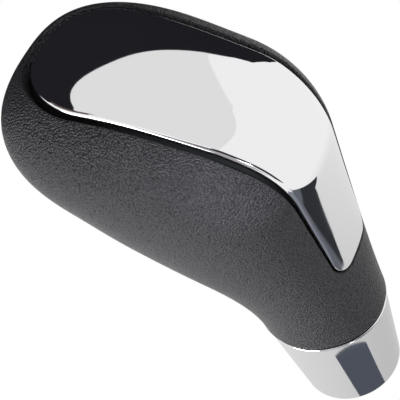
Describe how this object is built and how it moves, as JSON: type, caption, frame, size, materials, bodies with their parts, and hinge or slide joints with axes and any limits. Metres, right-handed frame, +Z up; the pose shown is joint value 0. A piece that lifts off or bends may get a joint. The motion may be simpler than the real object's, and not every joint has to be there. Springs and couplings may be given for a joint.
{
  "type": "gear shift knob",
  "caption": "Bent grip for an automatic gear lever, with a leather-grained moulded skin, a plated cover shell from nose to neck, and a tapered plated collar at its foot.",
  "frame": {"origin": "centre of the mouth of the lever socket, on the lever axis", "axes": "+Z up along the lever towards the head, +X towards the back of the neck where the cover's tongue runs, -X towards the nose, Y across"},
  "size_m": [0.0593, 0.046, 0.1041],
  "materials": {
    "grip_skin": "fine pebble grain, satin",
    "core_plastic": "moulded, matt",
    "cover_chrome": "bright plating",
    "carrier_black": "semi-gloss black",
    "collar_chrome": "bright plating",
    "insert_brass": "turned"
  },
  "bodies": {
    "root": {"grip": "grip_skin", "core": "core_plastic", "top_cover": "cover_chrome", "cover_carrier": "carrier_black", "collar": "collar_chrome", "thread_insert": "insert_brass"}
  },
  "joints": []
}
